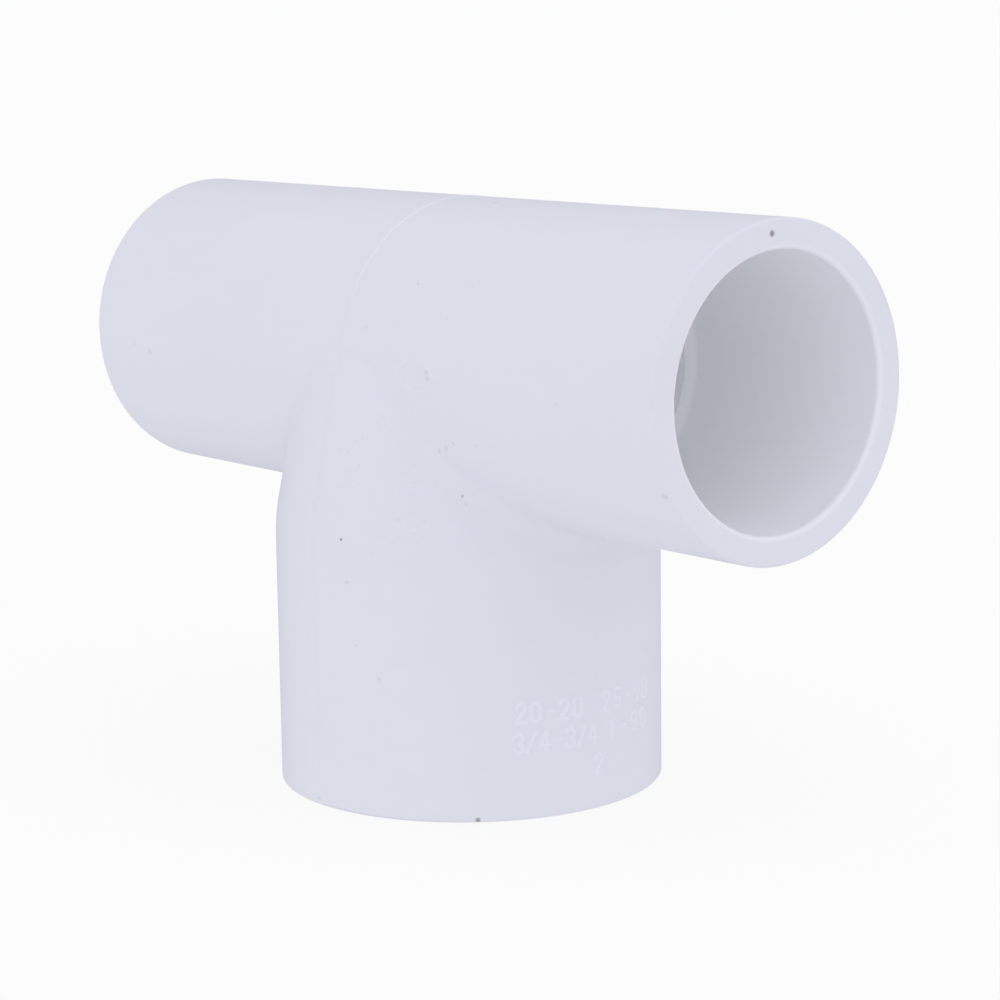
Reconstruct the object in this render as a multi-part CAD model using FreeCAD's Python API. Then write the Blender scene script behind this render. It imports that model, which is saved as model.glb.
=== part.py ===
import FreeCAD, Part
import math
import os

# Slip tee for solvent-welded rigid PVC pipe: two equal run sockets on one axis, and a larger branch
# socket square to them. The tee is one injection moulding. Each node is a named region of that
# moulding, made as a closed solid that meets its neighbours face to face.
#
# Millimetres, +Z up. The tee stands on its branch mouth: the origin is the centre of that mouth,
# the branch axis is Z, and the run axis is parallel to X.

# --- outside of the moulding -------------------------------------------------------------------
RUN_OUTER_RADIUS = 16.3
RUN_HALF_LENGTH = 46.2
RUN_AXIS_HEIGHT = 45.3
BRANCH_OUTER_RADIUS = 20.4
SHOULDER_HEIGHT = 28.4          # the straight branch hub ends here and the cone begins
SHOULDER_BLEND = 2.5            # the turn from hub to cone starts and ends this far from there
CONE_TOP_PROUD = 0.7            # how far the cone's top edge, level with the run axis, stands off the run
CONE_TOP_ROUNDING = 2.0         # of that edge
CROTCH_FILLET = 3.0             # where the branch and the run meet
MOUTH_EDGE_ROUNDING = 0.3       # outer corner of each mouth
MOUTH_ENTRY_ROUNDING = 0.5      # inner corner of each mouth, which leads the pipe in

# --- sockets: mean radius of the slightly tapered real ones ------------------------------------
RUN_BORE_RADIUS = 13.36         # takes a 3/4 inch pipe, 26.67 mm outside
RUN_SOCKET_DEPTH = 25.5
BRANCH_BORE_RADIUS = 16.73      # takes a 1 inch pipe, 33.40 mm outside
BRANCH_SOCKET_DEPTH = 28.4

# --- waterways past the pipe stops -------------------------------------------------------------
RUN_WATERWAY_RADIUS = 12.1
BRANCH_WATERWAY_RADIUS = 15.2   # at the branch stop
BRANCH_WATERWAY_TOP_RADIUS = 11.4   # at the run axis
STOP_RING_LENGTH = 3.0
STOP_CORNER_FILLET = 0.6
STOP_ROOT_THICKNESS = 1.2       # how far a stop ring's hidden side reaches into the wall

# --- where the socket nodes end and the centre body begins -------------------------------------
RUN_JOINT_DEPTH = 23.4
BRANCH_JOINT_DEPTH = 25.4

# --- fine raised line where the left and right mould halves meet -------------------------------
PARTING_LINE_WIDTH = 0.5
PARTING_LINE_RELIEF = 0.06

# --- gate mark: a shallow dish on the front of the run, with the broken gate at one end --------
GATE_OFFSET = 11.7              # along the run from the branch axis
GATE_DISH_LENGTH = 5.2
GATE_DISH_DEPTH = 0.2
GATE_STUB_RADIUS = 0.55
GATE_STUB_PROUD = 0.05
GATE_STUB_SHIFT = 1.9           # from the dish's centre

# --- raised size marks on the side of the branch hub -------------------------------------------
MARK_HEIGHT = 1.95              # between the stroke centre-lines
MARK_STROKE = 0.44
MARK_RELIEF = 0.12
MARK_ROWS = (                   # text, bearing of its first mark in degrees, height, spacing
    ("20-20", 65.1, 11.1, 1.57),
    ("25-90", 93.2, 11.1, 1.72),
    ("3/4-3/4", 64.1, 8.0, 1.42),
    ("1-90", 95.8, 8.0, 1.82),
    ("2", 90.3, 4.7, 1.57),
)

PROFILE_START = 14.0            # where the branch's side becomes one curve: hub, shoulder and cone
PROFILE_STEP = 1.3
CONE_TOP_START = RUN_AXIS_HEIGHT - 0.8      # the cone's top edge starts to turn in here
CONE_TOP_END = RUN_AXIS_HEIGHT + 2.5        # and ends, hidden, inside the run
CONE_TOP_STEP = 0.25
MARK_REACH = BRANCH_OUTER_RADIUS + 2 * MARK_RELIEF   # a mark's length before it is trimmed to the wall
SHORTEST_EDGE = 1e-6
ON_SURFACE = 0.01
EDGE_SAMPLES = 9


def vector(x, y, z):
    return FreeCAD.Vector(x, y, z)


ORIGIN = vector(0, 0, 0)
UP = vector(0, 0, 1)
RUN_CENTRE = vector(0, 0, RUN_AXIS_HEIGHT)
CONE_SLOPE = (BRANCH_OUTER_RADIUS - RUN_OUTER_RADIUS - CONE_TOP_PROUD) / (
    RUN_AXIS_HEIGHT - SHOULDER_HEIGHT
)
WATERWAY_TAPER = (BRANCH_WATERWAY_RADIUS - BRANCH_WATERWAY_TOP_RADIUS) / (
    RUN_AXIS_HEIGHT - BRANCH_SOCKET_DEPTH
)


# --- turned shapes -----------------------------------------------------------------------------
def cap_radius(width, height):
    """The radius of the arc that is so wide and rises so high."""
    return (width**2 / 4 + height**2) / (2 * height)


def corner_cut(before, corner, after, rounding):
    """Where a rounded corner's arc starts, passes and ends."""
    back = (before - corner).normalize()
    on = (after - corner).normalize()
    half = back.getAngle(on) / 2
    bisector = (back + on).normalize()
    reach = rounding / math.tan(half)
    middle = corner + bisector * (rounding / math.sin(half) - rounding)
    return corner + back * reach, middle, corner + on * reach


def turned(corners):
    """A solid turned about Z from (radius, height, rounding) corners."""
    points = [vector(radius, 0, height) for radius, height, rounding in corners]
    ends = []
    for i, (radius, height, rounding) in enumerate(corners):
        if rounding:
            ends.append(corner_cut(points[i - 1], points[i], points[(i + 1) % len(points)], rounding))
        else:
            ends.append((points[i], None, points[i]))
    edges = []
    for i, (start, middle, end) in enumerate(ends):
        if middle:
            edges.append(Part.Arc(start, middle, end).toShape())
        following = ends[(i + 1) % len(ends)][0]
        if (following - end).Length > SHORTEST_EDGE:
            edges.append(Part.LineSegment(end, following).toShape())
    face = Part.Face(Part.Wire(edges))
    return face.revolve(ORIGIN, UP, 360)


def to_run_end(shape, side):
    """Moves a shape drawn with its mouth at Z = 0 and its depth along +Z to one end of the run."""
    placed = shape.copy()
    placed.rotate(ORIGIN, vector(0, 1, 0), -90 * side)
    placed.translate(vector(side * RUN_HALF_LENGTH, 0, RUN_AXIS_HEIGHT))
    return placed


def socket_tube(outer_radius, bore_radius, joint_depth):
    return turned(
        [
            (bore_radius, 0, MOUTH_ENTRY_ROUNDING),
            (outer_radius, 0, MOUTH_EDGE_ROUNDING),
            (outer_radius, joint_depth, 0),
            (bore_radius, joint_depth, 0),
        ]
    )


def stop_ring(bore_radius, socket_depth, waterway_radius, taper):
    """The shoulder that the pipe's end meets, with its rounded corner and its wedge-shaped root."""
    return turned(
        [
            (bore_radius, socket_depth - STOP_CORNER_FILLET, 0),
            (bore_radius, socket_depth, STOP_CORNER_FILLET),
            (waterway_radius, socket_depth, 0),
            (waterway_radius - taper * STOP_RING_LENGTH, socket_depth + STOP_RING_LENGTH, 0),
            (bore_radius + STOP_ROOT_THICKNESS, socket_depth - STOP_CORNER_FILLET, 0),
        ]
    )


def run_stop():
    return stop_ring(RUN_BORE_RADIUS, RUN_SOCKET_DEPTH, RUN_WATERWAY_RADIUS, 0)


def branch_stop():
    return stop_ring(
        BRANCH_BORE_RADIUS, BRANCH_SOCKET_DEPTH, BRANCH_WATERWAY_RADIUS, WATERWAY_TAPER
    )


# --- centre body -------------------------------------------------------------------------------
def run_cylinder(radius, half_length):
    start = RUN_CENTRE - vector(half_length, 0, 0)
    return Part.makeCylinder(radius, 2 * half_length, start, vector(1, 0, 0))


def branch_radius(height):
    """The outside of the branch: upright on the hub, a cone above it, and the cone's rounded top edge."""
    past = height - SHOULDER_HEIGHT
    if past < -SHOULDER_BLEND:
        return BRANCH_OUTER_RADIUS
    if past < SHOULDER_BLEND:
        turn = (past + SHOULDER_BLEND) ** 2 / (4 * SHOULDER_BLEND)
        return BRANCH_OUTER_RADIUS - CONE_SLOPE * turn
    turned_in = max(height - CONE_TOP_START, 0) ** 2 / (2 * CONE_TOP_ROUNDING)
    return BRANCH_OUTER_RADIUS - CONE_SLOPE * past - turned_in


def stepped(start, end, step):
    """Evenly spaced numbers from start up to, but not at, end."""
    count = round((end - start) / step)
    return [start + i * (end - start) / count for i in range(count)]


def branch_half(relief, foot):
    """Half the branch's outline as a face beside Z, larger by relief, from the foot up to the cone's top."""
    heights = stepped(PROFILE_START, CONE_TOP_START, PROFILE_STEP)
    heights += stepped(CONE_TOP_START, CONE_TOP_END, CONE_TOP_STEP)
    side = Part.BSplineCurve()
    side.interpolate([vector(branch_radius(height) + relief, 0, height) for height in heights])
    corners = [
        side.EndPoint,
        vector(0, 0, heights[-1]),
        vector(0, 0, foot),
        vector(BRANCH_OUTER_RADIUS + relief, 0, foot),
        side.StartPoint,
    ]
    edges = [side.toShape()]
    for start, end in zip(corners, corners[1:]):
        edges.append(Part.LineSegment(start, end).toShape())
    return Part.Face(Part.Wire(edges))


def branch_outside():
    """The branch hub and the cone above it, as a solid bar."""
    return branch_half(0, 0).revolve(ORIGIN, UP, 360)


def is_crotch(edge):
    """True for an edge that lies on the run's wall and on the branch's."""
    for point in edge.discretize(EDGE_SAMPLES):
        off_run = math.hypot(point.y, point.z - RUN_AXIS_HEIGHT) - RUN_OUTER_RADIUS
        off_branch = math.hypot(point.x, point.y) - branch_radius(point.z)
        if max(abs(off_run), abs(off_branch)) > ON_SURFACE:
            return False
    return True


def outer_skin():
    """The whole outside as one solid, with the run and the branch blended into each other."""
    skin = run_cylinder(RUN_OUTER_RADIUS, RUN_HALF_LENGTH).fuse(branch_outside())
    crotch = [edge for edge in skin.Edges if is_crotch(edge)]
    return skin.makeFillet(CROTCH_FILLET, crotch)


def branch_waterway():
    return Part.makeCone(
        BRANCH_WATERWAY_RADIUS,
        BRANCH_WATERWAY_TOP_RADIUS,
        RUN_AXIS_HEIGHT - BRANCH_SOCKET_DEPTH,
        vector(0, 0, BRANCH_SOCKET_DEPTH),
    )


def gate_dish():
    """A ball that cuts a shallow dish into the run. The round wall makes the dish an oval."""
    radius = cap_radius(GATE_DISH_LENGTH, GATE_DISH_DEPTH)
    away = RUN_OUTER_RADIUS - GATE_DISH_DEPTH + radius
    return Part.makeSphere(radius, vector(GATE_OFFSET, -away, RUN_AXIS_HEIGHT))


def centre_body(skin):
    run_joint = RUN_HALF_LENGTH - RUN_JOINT_DEPTH
    box = Part.makeBox(
        2 * run_joint,
        4 * BRANCH_OUTER_RADIUS,
        2 * RUN_AXIS_HEIGHT,
        vector(-run_joint, -2 * BRANCH_OUTER_RADIUS, BRANCH_JOINT_DEPTH),
    )
    body = skin.common(box)
    openings = [
        run_cylinder(RUN_WATERWAY_RADIUS, RUN_HALF_LENGTH),
        branch_waterway(),
        Part.makeCylinder(BRANCH_BORE_RADIUS, BRANCH_SOCKET_DEPTH),
        branch_stop(),
        gate_dish(),
    ]
    for side in (-1, 1):
        openings.append(to_run_end(Part.makeCylinder(RUN_BORE_RADIUS, RUN_SOCKET_DEPTH), side))
        openings.append(to_run_end(run_stop(), side))
    for opening in openings:
        body = body.cut(opening)
    return body


# --- what the mould leaves ---------------------------------------------------------------------
def middle_slab(relief):
    """The tee's filled outline in the plane X = 0, larger by relief, as thick as the line is wide."""
    across = vector(PARTING_LINE_WIDTH, 0, 0)
    start = RUN_CENTRE - across / 2
    slab = Part.makeCylinder(RUN_OUTER_RADIUS + relief, PARTING_LINE_WIDTH, start, vector(1, 0, 0))
    for turn in (-90, 90):
        half = branch_half(relief, MOUTH_EDGE_ROUNDING)
        half.rotate(ORIGIN, UP, turn)
        half.translate(-across / 2)
        slab = slab.fuse(half.extrude(across))
    return slab


def parting_line():
    """A fine raised line round the middle of the tee, where the left and right mould halves meet."""
    return middle_slab(PARTING_LINE_RELIEF).cut(middle_slab(0))


def gate_stub():
    """The broken-off end of the gate, in the dish."""
    stub = Part.makeCylinder(
        GATE_STUB_RADIUS,
        RUN_OUTER_RADIUS + GATE_STUB_PROUD,
        vector(GATE_OFFSET + GATE_STUB_SHIFT, 0, RUN_AXIS_HEIGHT),
        vector(0, -1, 0),
    )
    wall = run_cylinder(RUN_OUTER_RADIUS, RUN_HALF_LENGTH).cut(gate_dish())
    return stub.cut(wall)


# --- raised size marks -------------------------------------------------------------------------
# Each mark is a list of strokes on a cell 1 wide and 2 high about its centre, in half-heights.
# A bar is (x, y) to (x, y). An arc is its centre, radius, and start and end angles in degrees.
ROUND = 0.45
STRAIGHT = 1 - ROUND
MARK_STROKES = {
    "0": [
        ("arc", (0, STRAIGHT), ROUND, 0, 180),
        ("arc", (0, -STRAIGHT), ROUND, 180, 360),
        ("bar", (-ROUND, -STRAIGHT), (-ROUND, STRAIGHT)),
        ("bar", (ROUND, -STRAIGHT), (ROUND, STRAIGHT)),
    ],
    "1": [
        ("bar", (0, -1), (0, 1)),
        ("bar", (0, 1), (-0.35, 0.65)),
    ],
    "2": [
        ("arc", (0, STRAIGHT), ROUND, -35, 180),
        ("bar", (0.37, 0.29), (-ROUND, -1)),
        ("bar", (-ROUND, -1), (ROUND, -1)),
    ],
    "3": [
        ("arc", (0, 0.5), 0.5, -90, 155),
        ("arc", (0, -0.5), 0.5, -155, 90),
    ],
    "4": [
        ("bar", (0.2, -1), (0.2, 1)),
        ("bar", (0.2, 1), (-0.5, -0.4)),
        ("bar", (-0.5, -0.4), (0.5, -0.4)),
    ],
    "5": [
        ("bar", (0.4, 1), (-0.4, 1)),
        ("bar", (-0.4, 1), (-0.4, -0.2)),
        ("arc", (0, -0.5), 0.5, -155, 140),
    ],
    "9": [
        ("arc", (0, 0.5), 0.5, 0, 360),
        ("bar", (0.5, 0.5), (0.1, -1)),
    ],
    "/": [("bar", (-ROUND, -1), (ROUND, 1))],
    "-": [("bar", (-0.35, 0), (0.35, 0))],
}


def bar_stroke(start, end):
    """A bar with rounded ends, standing on the XY plane."""
    half = MARK_STROKE / 2
    a = vector(start[0], start[1], 0) * (MARK_HEIGHT / 2)
    b = vector(end[0], end[1], 0) * (MARK_HEIGHT / 2)
    run = b - a
    box = Part.makeBox(run.Length, MARK_STROKE, MARK_REACH, vector(0, -half, 0))
    box.rotate(ORIGIN, UP, math.degrees(math.atan2(run.y, run.x)))
    box.translate(a)
    for end_point in (a, b):
        box = box.fuse(Part.makeCylinder(half, MARK_REACH, end_point))
    return box


def arc_stroke(centre, radius, start, end):
    half = MARK_STROKE / 2
    size = radius * MARK_HEIGHT / 2
    place = vector(centre[0], centre[1], 0) * (MARK_HEIGHT / 2)
    outer = Part.makeCylinder(size + half, MARK_REACH, place, UP, end - start)
    inner = Part.makeCylinder(size - half, MARK_REACH, place, UP)
    arc = outer.cut(inner)
    arc.rotate(place, UP, start)
    return arc


def mark_prism(letter):
    """One mark as upright strokes, read from above with +X to the right."""
    strokes = []
    for kind, *values in MARK_STROKES[letter]:
        strokes.append(bar_stroke(*values) if kind == "bar" else arc_stroke(*values))
    prism = strokes[0]
    for stroke in strokes[1:]:
        prism = prism.fuse(stroke)
    return prism


def raised_mark(letter, bearing, height):
    """A mark on the hub's wall. Its bearing is the angle from the front (-Y) towards +X."""
    prism = mark_prism(letter)
    prism.rotate(ORIGIN, vector(1, 0, 0), 90)
    prism.rotate(ORIGIN, UP, bearing)
    prism.translate(vector(0, 0, height))
    outside = Part.makeCylinder(BRANCH_OUTER_RADIUS + MARK_RELIEF, RUN_AXIS_HEIGHT)
    inside = Part.makeCylinder(BRANCH_OUTER_RADIUS, RUN_AXIS_HEIGHT)
    shell = outside.cut(inside)
    return prism.common(shell)


def size_marks():
    marks = []
    for text, bearing, height, spacing in MARK_ROWS:
        step = math.degrees(spacing / BRANCH_OUTER_RADIUS)
        for i, letter in enumerate(text):
            marks.extend(raised_mark(letter, bearing + i * step, height).Solids)
    return Part.Compound(marks)


# --- the whole tee -----------------------------------------------------------------------------
def build():
    skin = outer_skin()
    run_socket = socket_tube(RUN_OUTER_RADIUS, RUN_BORE_RADIUS, RUN_JOINT_DEPTH)
    return {
        "centre_body": centre_body(skin),
        "run_socket_left": to_run_end(run_socket, -1),
        "run_socket_right": to_run_end(run_socket, 1),
        "branch_socket": socket_tube(BRANCH_OUTER_RADIUS, BRANCH_BORE_RADIUS, BRANCH_JOINT_DEPTH),
        "run_stop_left": to_run_end(run_stop(), -1),
        "run_stop_right": to_run_end(run_stop(), 1),
        "branch_stop": branch_stop(),
        "parting_line": parting_line(),
        "gate_stub": gate_stub(),
        "size_marks": size_marks(),
    }


os.makedirs("parts", exist_ok=True)
for name, shape in build().items():
    box = shape.optimalBoundingBox()
    print(
        f"{name}: {len(shape.Solids)} solids, valid {shape.isValid()}, "
        f"volume {shape.Volume:.1f}, x {box.XMin:.2f} {box.XMax:.2f}, "
        f"y {box.YMin:.2f} {box.YMax:.2f}, z {box.ZMin:.2f} {box.ZMax:.2f}"
    )
    shape.exportStep(f"parts/{name}.step")
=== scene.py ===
import math

import bpy
from mathutils import Matrix, Vector, noise
from mathutils.bvhtree import BVHTree


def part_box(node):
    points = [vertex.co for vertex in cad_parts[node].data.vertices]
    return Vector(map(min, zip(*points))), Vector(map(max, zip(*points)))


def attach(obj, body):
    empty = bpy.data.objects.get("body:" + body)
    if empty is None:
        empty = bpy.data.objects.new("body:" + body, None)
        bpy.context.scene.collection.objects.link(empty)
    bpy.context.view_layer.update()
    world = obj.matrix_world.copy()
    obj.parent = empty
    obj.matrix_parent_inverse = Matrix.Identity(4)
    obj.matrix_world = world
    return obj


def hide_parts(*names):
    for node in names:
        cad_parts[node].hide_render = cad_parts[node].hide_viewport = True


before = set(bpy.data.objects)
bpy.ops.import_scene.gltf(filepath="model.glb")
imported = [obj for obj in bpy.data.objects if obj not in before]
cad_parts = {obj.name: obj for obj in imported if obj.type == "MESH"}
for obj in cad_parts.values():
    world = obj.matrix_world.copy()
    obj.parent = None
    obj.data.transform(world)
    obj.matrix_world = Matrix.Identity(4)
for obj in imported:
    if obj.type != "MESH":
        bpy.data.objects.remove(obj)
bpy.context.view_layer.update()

MM = 0.001

# --- camera ------------------------------------------------------------------------------------
CAMERA_AZIMUTH = math.radians(50.21)     # 0 looks along +Y, and positive goes towards +X
CAMERA_ELEVATION = math.radians(10.09)
CAMERA_ROLL = math.radians(-0.79)
CAMERA_DISTANCE = 290.7 * MM
CAMERA_AIM = Vector((5.32, 0, 30.11)) * MM
CAMERA_LENS_MM = 100.07
SENSOR_WIDTH_MM = 36

# --- studio: an even white surround, a little brighter or darker towards some broad sides ---------
EVEN_LIGHT = 0.654
LIGHT_COLOUR = (1.0, 1.015, 1.128)
SOFT_SIDES = (                  # direction, cosine of the angle where it starts, extra light at its middle
    ((0, 1, 0), 0.0, 0.104),
    ((1, 0, 0), 0.0, 0.064),
    ((1, -1, 1), 0.0, 0.115),
    ((-1, -1, -1), 0.0, 0.156),
    ((0, 0.2, 1), 0.4, 0.178),
    ((-0.757, 0.63, -0.1), 0.35, -0.246),       # the dark end of the room, behind the tee
)
BACKDROP_COLOUR = (0.973, 0.975, 0.975)
FLOOR_RADIUS = 10.0
FLOOR_COLOUR = (0.295, 0.293, 0.262)
FLOOR_GLOW = 0.734              # the floor's own light, so that it stays nearly as white as the backdrop

# --- colour and finish of the plastic ------------------------------------------------------------
PVC_COLOUR = (0.875, 0.88, 0.895)
BORE_PAINTED_LIGHT_COLOUR = (0.955, 0.96, 0.965)      # paler than the plastic outside: painted light, lifting the shade inside the bores
SPECK_COLOUR = (0.30, 0.29, 0.28)
PVC_IOR = 1.5
BORE_GLOW = 0.016               # light through the wall, and the last of the many reflections in a bore
BORE_GLOW_FADE = 3.0            # how far inside a mouth the glow is full, in millimetres

# --- marks of the mould and of wear: sizes and heights in millimetres, tones as shares of the colour ---
LOWEST_TONE = 0.980             # what the flow marks and blotches add to
FLOW_SIZE = 12.0                # broad flow marks, drawn out along the run
FLOW_STRETCH = (2.2, 1, 1)
FLOW_TONE = 0.026
FLOW_HEIGHT = 0.030
BLOTCH_SIZE = 3.0
BLOTCH_TONE = 0.014
BLOTCH_LEVELS = (0.3, 0.7)      # noise levels between which the roughness goes over its range
BLOTCH_ROUGHNESS = (0.35, 0.42)
GRAIN_SIZE = 0.45
GRAIN_HEIGHT = 0.002
LINE_SIZE = 0.5                 # fine level lines
LINE_STRETCH = (14, 14, 0.22)
LINE_LEVELS = (0.60, 0.70)      # noise levels between which a line shows
LINE_DEPTH = 0.004
SCUFF_LEVELS = (0.42, 0.60)     # levels of the blotches between which a scuffed patch is scuffed
SCUFF_MOTTLE = 0.07             # how much more the tone varies with the grain
SCUFF_HEIGHT = 0.004            # how much higher the grain is
SCUFF_ROUGHNESS = 0.14          # how much rougher it is
NICK_LEVELS = (0.60, 0.70)      # levels of the grain between which a scuff has a nick
NICK_DARKNESS = 0.06

# --- the tee, read from the CAD, in millimetres --------------------------------------------------
RUN_BOX = [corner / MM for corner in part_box("run_socket_right")]
HUB_BOX = [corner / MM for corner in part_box("branch_socket")]
RUN_AXIS_HEIGHT = (RUN_BOX[0].z + RUN_BOX[1].z) / 2
RUN_RADIUS = (RUN_BOX[1].z - RUN_BOX[0].z) / 2
RUN_HALF_LENGTH = RUN_BOX[1].x
HUB_RADIUS = HUB_BOX[1].x
SOCKET_WALL = 2.9               # round the run, where it is thinnest
OUT_OF_REACH = 200              # a ray that starts this far off is clear of the tee

# --- parting bead --------------------------------------------------------------------------------
BEAD_WIDTH = 0.46
BEAD_HEIGHT = 0.05
BEAD_ROOT = 0.06                # how deep its base lies in the wall
BEAD_FOOT = 0.6                 # its height above the branch mouth
BEAD_STEP = 0.4
BEAD_SECTION_STEPS = 8
BEAD_FADE = (50, 56)            # heights between which it goes from worn low to crisp
BEAD_WORN = 0.3                 # how much of its height is left where it is worn
# painted highlight: how much paler the bead gets high on the run, where it is crisp
BEAD_PAINTED_HIGHLIGHT = 0.040

# --- relief pieces: skins that follow the wall just below it and rise through it where they are raised
RELIEF_GRID = 0.08
RELIEF_SINK = 0.02

# --- raised size marks ---------------------------------------------------------------------------
MARK_HEIGHT = 1.95              # between the stroke centre-lines
MARK_STROKE = 0.40
MARK_SOFTNESS = 0.22            # how wide a stroke's flank is
MARK_RELIEF = 0.15
MARK_PALER = 0.05
MARK_ARC_STEPS = 10
MARK_ROWS = (                   # text, bearing of its first mark in degrees, height, spacing
    ("20-20", 65.1, 11.1, 1.57),
    ("25-90", 93.2, 11.1, 1.72),
    ("3/4-3/4", 64.1, 8.0, 1.42),
    ("1-90", 95.8, 8.0, 1.82),
    ("2", 90.3, 4.7, 1.57),
)

# --- gate scar: the torn edge of a shallow dish on the front of the run -----------------------------
GATE_CENTRE = 11.95             # along the run from the branch axis
GATE_HALF_LENGTH = 2.75
GATE_HALF_HEIGHT = 1.55
GATE_PATCH = 2.8                # the skin's length and height, in halves of the dish's
GATE_RIM_WIDTH = 0.24
GATE_RIM_RELIEF = 0.12
GATE_RAGGED = 0.18              # how far the edge strays from the oval, as a share of its size
GATE_RAGGED_LUMPS = 1.6         # how many lumps of noise there are in a millimetre, here and below
GATE_BREAKS = (-0.35, 0.25)     # noise levels between which the edge goes from torn off to whole
GATE_BREAK_LUMPS = 0.9
GATE_PALER = 0.012
GATE_STUB_CENTRE = (1.9, 0.2)   # along the run and upwards, from the dish's centre
GATE_STUB_RADIUS = 0.65
GATE_STUB_TOP = 0.3             # the share of the radius within which it has its full height
GATE_STUB_RELIEF = 0.16
GATE_STUB_EVEN = 0.65           # the even share of the stub's height, and how much it varies
GATE_STUB_UNEVEN = 0.9
GATE_STUB_LUMPS = 3.2

# --- specks in and on the plastic: where they are, their radius, and how dark they are --------------
SPECK_CORE = 0.3                # the shares of its radius where a speck starts to fade, and where it ends
SPECK_EDGE = 1.2
RUN_SPECKS = (                  # along the run, degrees above level at the front, radius, darkness
    (14.9, -25.1, 0.30, 0.22),
    (16.3, -22.9, 0.26, 0.22),
    (13.5, -27.4, 0.25, 0.20),
    (20.0, -22.0, 0.20, 0.15),
    (33.2, -2.3, 0.18, 0.10),
    (9.6, 32.6, 0.20, 0.22),
    (3.6, 14.5, 0.20, 0.12),
    (8.4, 80.7, 0.32, 0.22),
    (-38.7, -3.9, 0.25, 0.10),
    (-35.7, -5.8, 0.38, 0.18),
    (45.6, -29.3, 0.38, 0.25),
    (13.9, 2.1, 0.30, 0.22),
    (14.1, 0.0, 0.26, 0.22),
)
BRANCH_SPECKS = (               # bearing from the front towards +X in degrees, height, radius, darkness
    (11.7, 28.4, 0.19, 0.90),
    (13.8, 24.1, 0.24, 0.22),
    (16.5, 17.7, 0.18, 0.12),
    (24.1, 14.5, 0.24, 0.20),
    (49.3, 33.3, 0.20, 0.50),
    (50.4, 32.5, 0.18, 0.15),
    (52.3, 0.3, 0.32, 0.85),
)
RIM_SPECK = (-1.3, 14.9, 0.38, 0.95)    # across and above the run's axis on the right rim

# --- sparse dust all over: one place for a speck in each cell -----------------------------------------
DUST_CELLS = 0.5                # cells in a millimetre
DUST_FADE = (0.03, 0.08)        # radii between which a speck of dust fades, in cells
DUST_DARKNESS = 0.14
DUST_PICK = (0.93, 0.95)        # of cells numbered evenly from 0 to 1, those above this have a speck

# --- scuffed, mottled patches: centre, inner and outer radius -----------------------------------------
SCUFFS = (
    ((6, -17, 34), 5, 12),
    ((15, -13, 38), 1, 4),
)


# --- geometry helpers ----------------------------------------------------------------------------
def new_piece(name, vertices, faces, stands_for, material):
    """A smooth mesh piece, from millimetres, that rides on the tee and stands for a CAD node."""
    mesh = bpy.data.meshes.new(name)
    mesh.from_pydata([Vector(v) * MM for v in vertices], [], faces)
    mesh.shade_smooth()
    mesh.materials.append(material)
    piece = bpy.data.objects.new(name, mesh)
    bpy.context.scene.collection.objects.link(piece)
    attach(piece, "root")
    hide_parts(stands_for)
    return piece


def wall_tree(*nodes):
    """The faces of CAD nodes, in millimetres, ready to be hit by rays."""
    vertices = []
    faces = []
    for node in nodes:
        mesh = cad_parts[node].data
        first = len(vertices)
        vertices += [v.co / MM for v in mesh.vertices]
        faces += [[first + i for i in face.vertices] for face in mesh.polygons]
    return BVHTree.FromPolygons(vertices, faces)


WALL = wall_tree("centre_body", "branch_socket")


def wall_point(target, outwards):
    """The point of the tee's outside that is first met on the way in to the target."""
    start = target + outwards * OUT_OF_REACH
    return WALL.ray_cast(start, -outwards)[0]


def smooth_step(value, start, end):
    """0 at the start and 1 at the end, with a smooth change between them."""
    share = min(max((value - start) / (end - start), 0), 1)
    return share * share * (3 - 2 * share)


def uneven(u, v, layer, lumps):
    """Smooth noise about 0 over a patch, with that many lumps in a millimetre. Each layer differs."""
    return noise.noise(Vector((u, v, layer)) * lumps)


# --- parting bead --------------------------------------------------------------------------------
def bead_path():
    """Points of the tee's outline in the plane X = 0: up the front, over the run, down the back."""
    steps = round((RUN_AXIS_HEIGHT - BEAD_FOOT) / BEAD_STEP)
    heights = [BEAD_FOOT + i * (RUN_AXIS_HEIGHT - BEAD_FOOT) / steps for i in range(steps)]
    front = [wall_point(Vector((0, 0, z)), Vector((0, -1, 0))) for z in heights]
    back = [wall_point(Vector((0, 0, z)), Vector((0, 1, 0))) for z in reversed(heights)]
    turns = round(math.pi * RUN_RADIUS / BEAD_STEP)
    arch = []
    for i in range(turns + 1):
        turn = math.pi * i / turns
        outwards = Vector((0, -math.cos(turn), math.sin(turn)))
        arch.append(wall_point(Vector((0, 0, RUN_AXIS_HEIGHT)), outwards))
    return front + arch + back


def bead_section(share):
    """The bead's outline across the line, as (sideways, outwards): a low lens on a flat root."""
    crown = []
    for i in range(BEAD_SECTION_STEPS + 1):
        side = 2 * i / BEAD_SECTION_STEPS - 1
        crown.append((side * BEAD_WIDTH / 2, share * BEAD_HEIGHT * (1 - side**2)))
    return [(BEAD_WIDTH / 2, -BEAD_ROOT), (-BEAD_WIDTH / 2, -BEAD_ROOT)] + crown


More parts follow.
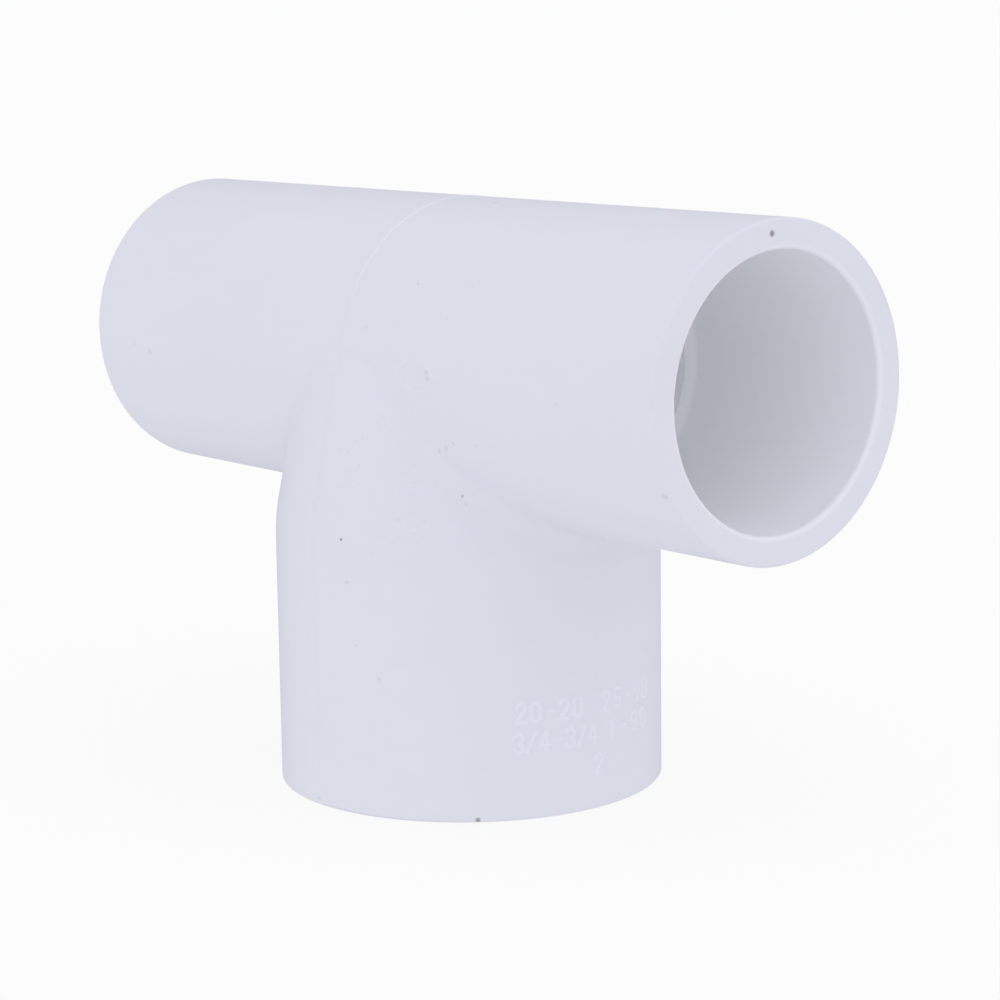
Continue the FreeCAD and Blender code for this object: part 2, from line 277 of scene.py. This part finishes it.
def parting_bead(material):
    """The fine raised line where the left and right mould halves meet."""
    path = bead_path()
    vertices = []
    for i, point in enumerate(path):
        along = (path[min(i + 1, len(path) - 1)] - path[max(i - 1, 0)]).normalized()
        outwards = Vector((1, 0, 0)).cross(along)
        crisp = smooth_step(point.z, *BEAD_FADE)
        for sideways, out in bead_section(BEAD_WORN + (1 - BEAD_WORN) * crisp):
            vertices.append(point + Vector((sideways, 0, 0)) + outwards * out)
    ring = BEAD_SECTION_STEPS + 3
    faces = []
    for i in range(len(path) - 1):
        for k in range(ring):
            a = i * ring + k
            b = i * ring + (k + 1) % ring
            faces.append((a, b, b + ring, a + ring))
    last = (len(path) - 1) * ring
    faces.append(tuple(reversed(range(ring))))
    faces.append(tuple(range(last, last + ring)))
    return new_piece("parting_bead", vertices, faces, "parting_line", material)


# --- relief pieces -------------------------------------------------------------------------------
def relief(name, size, place, height, stands_for, material):
    """A skin over a patch of the wall, kept only where it rises through the wall.

    size is the patch's width and height, place(u, v) gives the wall's point and outward direction
    there, and height(u, v) the relief, with (0, 0) at the patch's middle.
    """
    columns = round(size[0] / RELIEF_GRID)
    rows = round(size[1] / RELIEF_GRID)
    spots = {}
    vertices = []
    for row in range(rows + 1):
        v = (row / rows - 0.5) * size[1]
        for column in range(columns + 1):
            u = (column / columns - 0.5) * size[0]
            spots[row, column] = (u, v, height(u, v))
    used = {}
    faces = []
    for row in range(rows):
        for column in range(columns):
            corners = [(row, column), (row, column + 1), (row + 1, column + 1), (row + 1, column)]
            if max(spots[corner][2] for corner in corners) <= 0:
                continue
            for corner in corners:
                if corner not in used:
                    used[corner] = len(vertices)
                    u, v, rise = spots[corner]
                    point, outwards = place(u, v)
                    vertices.append(point + outwards * (rise - RELIEF_SINK))
            faces.append([used[corner] for corner in corners])
    return new_piece(name, vertices, faces, stands_for, material)


# --- raised size marks ---------------------------------------------------------------------------
# Each mark is a list of strokes on a cell 1 wide and 2 high about its centre, in half-heights.
# A bar is (x, y) to (x, y). An arc is its centre, radius, and start and end angles in degrees.
ROUND = 0.45
STRAIGHT = 1 - ROUND
MARK_STROKES = {
    "0": [
        ("arc", (0, STRAIGHT), ROUND, 0, 180),
        ("arc", (0, -STRAIGHT), ROUND, 180, 360),
        ("bar", (-ROUND, -STRAIGHT), (-ROUND, STRAIGHT)),
        ("bar", (ROUND, -STRAIGHT), (ROUND, STRAIGHT)),
    ],
    "1": [
        ("bar", (0, -1), (0, 1)),
        ("bar", (0, 1), (-0.35, 0.65)),
    ],
    "2": [
        ("arc", (0, STRAIGHT), ROUND, -35, 180),
        ("bar", (0.37, 0.29), (-ROUND, -1)),
        ("bar", (-ROUND, -1), (ROUND, -1)),
    ],
    "3": [
        ("arc", (0, 0.5), 0.5, -90, 155),
        ("arc", (0, -0.5), 0.5, -155, 90),
    ],
    "4": [
        ("bar", (0.2, -1), (0.2, 1)),
        ("bar", (0.2, 1), (-0.5, -0.4)),
        ("bar", (-0.5, -0.4), (0.5, -0.4)),
    ],
    "5": [
        ("bar", (0.4, 1), (-0.4, 1)),
        ("bar", (-0.4, 1), (-0.4, -0.2)),
        ("arc", (0, -0.5), 0.5, -155, 140),
    ],
    "9": [
        ("arc", (0, 0.5), 0.5, 0, 360),
        ("bar", (0.5, 0.5), (0.1, -1)),
    ],
    "/": [("bar", (-ROUND, -1), (ROUND, 1))],
    "-": [("bar", (-0.35, 0), (0.35, 0))],
}


def stroke_points(kind, *values):
    """The corners of a stroke's centre-line."""
    if kind == "bar":
        return [Vector(end) for end in values]
    centre, radius, start, end = values
    points = []
    for i in range(MARK_ARC_STEPS + 1):
        turn = math.radians(start + (end - start) * i / MARK_ARC_STEPS)
        points.append(Vector(centre) + Vector((math.cos(turn), math.sin(turn))) * radius)
    return points


def mark_lines(letter):
    """A mark's centre-lines as straight pieces, in millimetres along the wall and up it."""
    lines = []
    for stroke in MARK_STROKES[letter]:
        points = [point * (MARK_HEIGHT / 2) for point in stroke_points(*stroke)]
        lines += zip(points, points[1:])
    return lines


def distance_to(line, point):
    """How far a point of the wall is from a straight piece of centre-line."""
    start, end = line
    along = end - start
    share = min(max((point - start).dot(along) / along.length_squared, 0), 1)
    return (point - start - along * share).length


def size_mark(index, letter, bearing, height, material):
    """One raised numeral on the hub's wall."""
    lines = mark_lines(letter)

    def rise(u, v):
        off = min(distance_to(line, Vector((u, v))) for line in lines)
        flank = MARK_STROKE / 2 - MARK_SOFTNESS / 2
        return (MARK_RELIEF + RELIEF_SINK) * (1 - smooth_step(off, flank, flank + MARK_SOFTNESS))

    def place(u, v):
        turn = math.radians(bearing) + u / HUB_RADIUS
        outwards = Vector((math.sin(turn), -math.cos(turn), 0))
        return wall_point(Vector((0, 0, height + v)), outwards), outwards

    size = (MARK_HEIGHT / 2 + 2 * MARK_STROKE, MARK_HEIGHT + 2 * MARK_STROKE)
    return relief(f"size_mark_{index:02d}", size, place, rise, "size_marks", material)


def size_marks(material):
    index = 0
    for text, bearing, height, spacing in MARK_ROWS:
        for i, letter in enumerate(text):
            index += 1
            size_mark(index, letter, bearing + math.degrees(i * spacing / HUB_RADIUS), height, material)


# --- gate scar -----------------------------------------------------------------------------------
def gate_scar(material):
    """The dish's torn, uneven edge, and the rough end of the broken gate beside its right end."""

    def rise(u, v):
        ragged = GATE_RAGGED * uneven(u, v, 0, GATE_RAGGED_LUMPS)
        oval = math.hypot(u / GATE_HALF_LENGTH, v / GATE_HALF_HEIGHT)
        off_edge = abs(oval - 1 - ragged) * GATE_HALF_HEIGHT
        whole = smooth_step(uneven(u, v, 3, GATE_BREAK_LUMPS), *GATE_BREAKS)
        edge = GATE_RIM_RELIEF * whole * (1 - smooth_step(off_edge, 0, GATE_RIM_WIDTH))
        off_stub = math.hypot(u - GATE_STUB_CENTRE[0], v - GATE_STUB_CENTRE[1]) / GATE_STUB_RADIUS
        lumps = GATE_STUB_EVEN + GATE_STUB_UNEVEN * uneven(u, v, 7, GATE_STUB_LUMPS)
        stub = GATE_STUB_RELIEF * lumps * (1 - smooth_step(off_stub, GATE_STUB_TOP, 1))
        return max(edge, stub)

    def place(u, v):
        turn = v / RUN_RADIUS
        outwards = Vector((0, -math.cos(turn), math.sin(turn)))
        return wall_point(Vector((GATE_CENTRE + u, 0, RUN_AXIS_HEIGHT)), outwards), outwards

    size = (GATE_PATCH * GATE_HALF_LENGTH, GATE_PATCH * GATE_HALF_HEIGHT)
    return relief("gate_scar", size, place, rise, "gate_stub", material)


# --- materials -----------------------------------------------------------------------------------
class Nodes:
    """A node tree, with short ways to add the few kinds of node used here."""

    def __init__(self, tree):
        self.tree = tree

    def feed(self, socket, value):
        """Sets a socket to a number or vector, or links another node's output to it."""
        if isinstance(value, bpy.types.NodeSocket):
            self.tree.links.new(value, socket)
        else:
            socket.default_value = value

    def math(self, operation, *values):
        """The result of one sum on numbers."""
        node = self.tree.nodes.new("ShaderNodeMath")
        node.operation = operation
        for socket, value in zip(node.inputs, values):
            self.feed(socket, value)
        return node.outputs[0]

    def vector(self, operation, output, *values):
        """The named result of one sum on vectors."""
        node = self.tree.nodes.new("ShaderNodeVectorMath")
        node.operation = operation
        for socket, value in zip(node.inputs, values):
            self.feed(socket, value)
        return node.outputs[output]

    def coordinates(self, kind):
        return self.tree.nodes.new("ShaderNodeTexCoord").outputs[kind]

    def noise(self, place, size, detail, stretch=(1, 1, 1)):
        """Soft noise from 0 to 1 with lumps about that size, drawn out by the stretches."""
        scale = tuple(1 / (size * s) for s in stretch)
        node = self.tree.nodes.new("ShaderNodeTexNoise")
        self.feed(node.inputs["Vector"], self.vector("MULTIPLY", "Vector", place, scale))
        node.inputs["Scale"].default_value = 1
        node.inputs["Detail"].default_value = detail
        return node.outputs["Fac"]

    def fade(self, value, start, end, at_start=0.0, at_end=1.0):
        """A smooth change from one number to another as the value goes from start to end."""
        node = self.tree.nodes.new("ShaderNodeMapRange")
        node.interpolation_type = "SMOOTHSTEP"
        for socket, number in zip(node.inputs, (value, start, end, at_start, at_end)):
            self.feed(socket, number)
        return node.outputs["Result"]

    def near(self, place, centre, inner, outer, most=1.0):
        """The most within the inner radius of a point, fading to 0 at the outer radius."""
        distance = self.vector("DISTANCE", "Value", place, centre)
        return self.fade(distance, inner, outer, most, 0.0)

    def largest(self, values):
        result = values[0]
        for value in values[1:]:
            result = self.math("MAXIMUM", result, value)
        return result

    def mix(self, share, first, second):
        """One colour turning into another."""
        node = self.tree.nodes.new("ShaderNodeMix")
        node.data_type = "RGBA"
        for name, value in (("Factor_Float", share), ("A_Color", first), ("B_Color", second)):
            socket = next(s for s in node.inputs if s.identifier == name)
            self.feed(socket, (*value, 1) if isinstance(value, tuple) else value)
        return next(s for s in node.outputs if s.identifier == "Result_Color")


def in_run_bore(nodes, place):
    """1 on the walls of the run's bores and waterway, 0 outside."""
    across = nodes.vector("MULTIPLY", "Vector", place, (0, 1, 1))
    off_axis = nodes.vector("DISTANCE", "Value", across, (0, 0, RUN_AXIS_HEIGHT))
    wall = RUN_RADIUS - SOCKET_WALL
    return nodes.fade(off_axis, wall + 0.1, wall + 0.6, 1.0, 0.0)


def in_branch_bore(nodes, place):
    """1 on the walls of the branch's bore and waterway, 0 outside."""
    level = nodes.vector("MULTIPLY", "Vector", place, (1, 1, 0))
    off_axis = nodes.vector("LENGTH", "Value", level)
    inside = nodes.fade(off_axis, HUB_RADIUS - SOCKET_WALL - 0.6, HUB_RADIUS - SOCKET_WALL, 1.0, 0.0)
    height = nodes.vector("DOT_PRODUCT", "Value", place, (0, 0, 1))
    below_run = nodes.fade(height, RUN_AXIS_HEIGHT - 4, RUN_AXIS_HEIGHT - 2, 1.0, 0.0)
    return nodes.math("MULTIPLY", inside, below_run)


def bore_glow(nodes, place, in_run, in_branch):
    """The glow inside the bores, which fades out at the mouths."""
    along = nodes.math("ABSOLUTE", nodes.vector("DOT_PRODUCT", "Value", place, (1, 0, 0)))
    height = nodes.vector("DOT_PRODUCT", "Value", place, (0, 0, 1))
    run_depth = nodes.fade(along, RUN_HALF_LENGTH, RUN_HALF_LENGTH - BORE_GLOW_FADE, 0.0, BORE_GLOW)
    branch_depth = nodes.fade(height, 0.0, BORE_GLOW_FADE, 0.0, BORE_GLOW)
    return nodes.largest([
        nodes.math("MULTIPLY", in_run, run_depth),
        nodes.math("MULTIPLY", in_branch, branch_depth),
    ])


def specks(nodes, place):
    """How dark each of the placed specks makes the plastic: full in its middle, then less."""
    across, above, radius, darkness = RIM_SPECK
    spots = [(Vector((RUN_HALF_LENGTH, across, RUN_AXIS_HEIGHT + above)), radius, darkness)]
    for along, degrees, radius, darkness in RUN_SPECKS:
        turn = math.radians(degrees)
        outwards = Vector((0, -math.cos(turn), math.sin(turn)))
        spots.append((Vector((along, 0, RUN_AXIS_HEIGHT)) + outwards * RUN_RADIUS, radius, darkness))
    for degrees, height, radius, darkness in BRANCH_SPECKS:
        turn = math.radians(degrees)
        outwards = Vector((math.sin(turn), -math.cos(turn), 0))
        spots.append((wall_point(Vector((0, 0, height)), outwards), radius, darkness))
    return nodes.largest([
        nodes.near(place, spot, SPECK_CORE * radius, SPECK_EDGE * radius, darkness)
        for spot, radius, darkness in spots
    ])


def dust(nodes, place):
    """Sparse, very small specks all over."""
    cells = nodes.tree.nodes.new("ShaderNodeTexVoronoi")
    nodes.feed(cells.inputs["Vector"], place)
    cells.inputs["Scale"].default_value = DUST_CELLS
    spot = nodes.fade(cells.outputs["Distance"], *DUST_FADE, DUST_DARKNESS, 0.0)
    number = nodes.vector("DOT_PRODUCT", "Value", cells.outputs["Color"], (1, 0, 0))
    return nodes.math("MULTIPLY", spot, nodes.fade(number, *DUST_PICK))


def scuffed(nodes, place, blotches):
    """1 in the blotches of the scuffed patches."""
    patch = nodes.largest([nodes.near(place, *scuff) for scuff in SCUFFS])
    return nodes.math("MULTIPLY", patch, nodes.fade(blotches, *SCUFF_LEVELS))


def surface_tone(nodes, flow, blotches, grain, scuff):
    """The share of the plain colour that is left by the flow marks, the blotches and the scuffs."""
    tone = nodes.math("MULTIPLY_ADD", flow, FLOW_TONE, LOWEST_TONE)
    tone = nodes.math("MULTIPLY_ADD", blotches, BLOTCH_TONE, tone)
    mottle = nodes.math("MULTIPLY", nodes.math("SUBTRACT", grain, 0.5), scuff)
    tone = nodes.math("MULTIPLY_ADD", mottle, SCUFF_MOTTLE, tone)
    nicks = nodes.math("MULTIPLY", nodes.fade(grain, *NICK_LEVELS), scuff)
    return nodes.math("MULTIPLY_ADD", nicks, -NICK_DARKNESS, tone)


def surface_bumps(nodes, place, flow, grain, scuff):
    """The normal of the flow marks, the grain and the fine level lines."""
    lines = nodes.noise(place, LINE_SIZE, 2.0, stretch=LINE_STRETCH)
    height = nodes.math("MULTIPLY", flow, FLOW_HEIGHT)
    grain_height = nodes.math("MULTIPLY_ADD", scuff, SCUFF_HEIGHT, GRAIN_HEIGHT)
    height = nodes.math("MULTIPLY_ADD", grain, grain_height, height)
    height = nodes.math("MULTIPLY_ADD", nodes.fade(lines, *LINE_LEVELS), -LINE_DEPTH, height)
    bump = nodes.tree.nodes.new("ShaderNodeBump")
    bump.inputs["Distance"].default_value = MM
    nodes.feed(bump.inputs["Height"], height)
    return bump.outputs["Normal"]


def pvc(name, paler=0.0, paler_heights=None):
    """As-moulded white rigid PVC: satin and nearly even, with specks, flow marks and scuffs.

    It is paler by that share, or gets so between two heights, as a painted highlight on crests that catch
    the light.
    """
    material = bpy.data.materials.new(name)
    material.use_nodes = True
    nodes = Nodes(material.node_tree)
    shader = material.node_tree.nodes["Principled BSDF"]
    shader.inputs["IOR"].default_value = PVC_IOR
    place = nodes.vector("MULTIPLY", "Vector", nodes.coordinates("Object"), (1 / MM,) * 3)
    flow = nodes.noise(place, FLOW_SIZE, 3.0, stretch=FLOW_STRETCH)
    blotches = nodes.noise(place, BLOTCH_SIZE, 3.0)
    grain = nodes.noise(place, GRAIN_SIZE, 2.0)
    scuff = scuffed(nodes, place, blotches)

    if paler_heights:
        height = nodes.vector("DOT_PRODUCT", "Value", place, (0, 0, 1))
        paler = nodes.fade(height, *paler_heights, 0.0, paler)
    tone = nodes.math("ADD", surface_tone(nodes, flow, blotches, grain, scuff), paler)
    in_run = in_run_bore(nodes, place)
    in_branch = in_branch_bore(nodes, place)
    # painted light: the bores' walls get a paler colour that lifts their shade
    plain = nodes.mix(nodes.largest([in_run, in_branch]), PVC_COLOUR, BORE_PAINTED_LIGHT_COLOUR)
    toned = nodes.vector("SCALE", "Vector", plain)
    nodes.feed(toned.node.inputs["Scale"], tone)
    dark = nodes.largest([specks(nodes, place), dust(nodes, place)])
    nodes.feed(shader.inputs["Base Color"], nodes.mix(dark, toned, SPECK_COLOUR))

    glow = bore_glow(nodes, place, in_run, in_branch)
    shader.inputs["Emission Color"].default_value = (*LIGHT_COLOUR, 1)
    nodes.feed(shader.inputs["Emission Strength"], glow)

    satin = nodes.fade(blotches, *BLOTCH_LEVELS, *BLOTCH_ROUGHNESS)
    roughness = nodes.math("MULTIPLY_ADD", scuff, SCUFF_ROUGHNESS, satin)
    nodes.feed(shader.inputs["Roughness"], roughness)
    nodes.feed(shader.inputs["Normal"], surface_bumps(nodes, place, flow, grain, scuff))
    return material


# --- studio --------------------------------------------------------------------------------------
def add_camera():
    """The camera looks at CAMERA_AIM, and its roll turns it about its own line of sight."""
    az, el, roll = CAMERA_AZIMUTH, CAMERA_ELEVATION, CAMERA_ROLL
    back = Vector((math.sin(az) * math.cos(el), -math.cos(az) * math.cos(el), math.sin(el)))
    level = Vector((math.cos(az), math.sin(az), 0))
    upright = back.cross(level)
    right = level * math.cos(roll) + upright * math.sin(roll)
    up = upright * math.cos(roll) - level * math.sin(roll)
    data = bpy.data.cameras.new("camera")
    data.lens = CAMERA_LENS_MM
    data.sensor_width = SENSOR_WIDTH_MM
    camera = bpy.data.objects.new("camera", data)
    turn = Matrix((right, up, back)).transposed().to_4x4()
    camera.matrix_world = Matrix.Translation(CAMERA_AIM + back * CAMERA_DISTANCE) @ turn
    bpy.context.scene.collection.objects.link(camera)
    bpy.context.scene.camera = camera


def add_light():
    """Soft light from all round. The camera itself sees a plain white backdrop."""
    world = bpy.data.worlds.new("studio")
    world.use_nodes = True
    nodes = Nodes(world.node_tree)
    towards = nodes.coordinates("Generated")
    level = EVEN_LIGHT
    for direction, start, extra in SOFT_SIDES:
        cosine = nodes.vector("DOT_PRODUCT", "Value", towards, Vector(direction).normalized())
        level = nodes.math("ADD", level, nodes.fade(cosine, start, 1.0, 0.0, extra))
    light = nodes.tree.nodes["Background"]
    light.inputs["Color"].default_value = (*LIGHT_COLOUR, 1)
    nodes.feed(light.inputs["Strength"], level)
    backdrop = nodes.tree.nodes.new("ShaderNodeBackground")
    backdrop.inputs["Color"].default_value = (*BACKDROP_COLOUR, 1)
    mix = nodes.tree.nodes.new("ShaderNodeMixShader")
    nodes.feed(mix.inputs[0], nodes.tree.nodes.new("ShaderNodeLightPath").outputs["Is Camera Ray"])
    nodes.feed(mix.inputs[1], light.outputs[0])
    nodes.feed(mix.inputs[2], backdrop.outputs[0])
    nodes.feed(nodes.tree.nodes["World Output"].inputs["Surface"], mix.outputs[0])
    bpy.context.scene.world = world
    bpy.context.scene.view_settings.view_transform = "Standard"


def add_floor():
    """A plain pale floor. It shows, and takes the tee's soft shadow, but doesn't light the tee."""
    material = bpy.data.materials.new("floor")
    material.use_nodes = True
    shader = material.node_tree.nodes["Principled BSDF"]
    shader.inputs["Base Color"].default_value = (*FLOOR_COLOUR, 1)
    shader.inputs["Roughness"].default_value = 1
    shader.inputs["Specular IOR Level"].default_value = 0
    shader.inputs["Emission Color"].default_value = (1, 1, 1, 1)
    shader.inputs["Emission Strength"].default_value = FLOOR_GLOW
    bpy.ops.mesh.primitive_circle_add(vertices=256, radius=FLOOR_RADIUS, fill_type="NGON")
    floor = bpy.context.object
    floor.name = "floor"
    floor.data.materials.append(material)
    floor.visible_diffuse = False
    floor.visible_glossy = False
    floor.visible_shadow = False


# --- the scene -----------------------------------------------------------------------------------
add_camera()
add_light()
add_floor()

white = pvc("pvc_white")
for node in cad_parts.values():
    node.data.materials.clear()
    node.data.materials.append(white)
parting_bead(pvc("pvc_white_bead", BEAD_PAINTED_HIGHLIGHT, BEAD_FADE))
size_marks(pvc("pvc_white_marks", MARK_PALER))
gate_scar(pvc("pvc_white_gate", GATE_PALER))
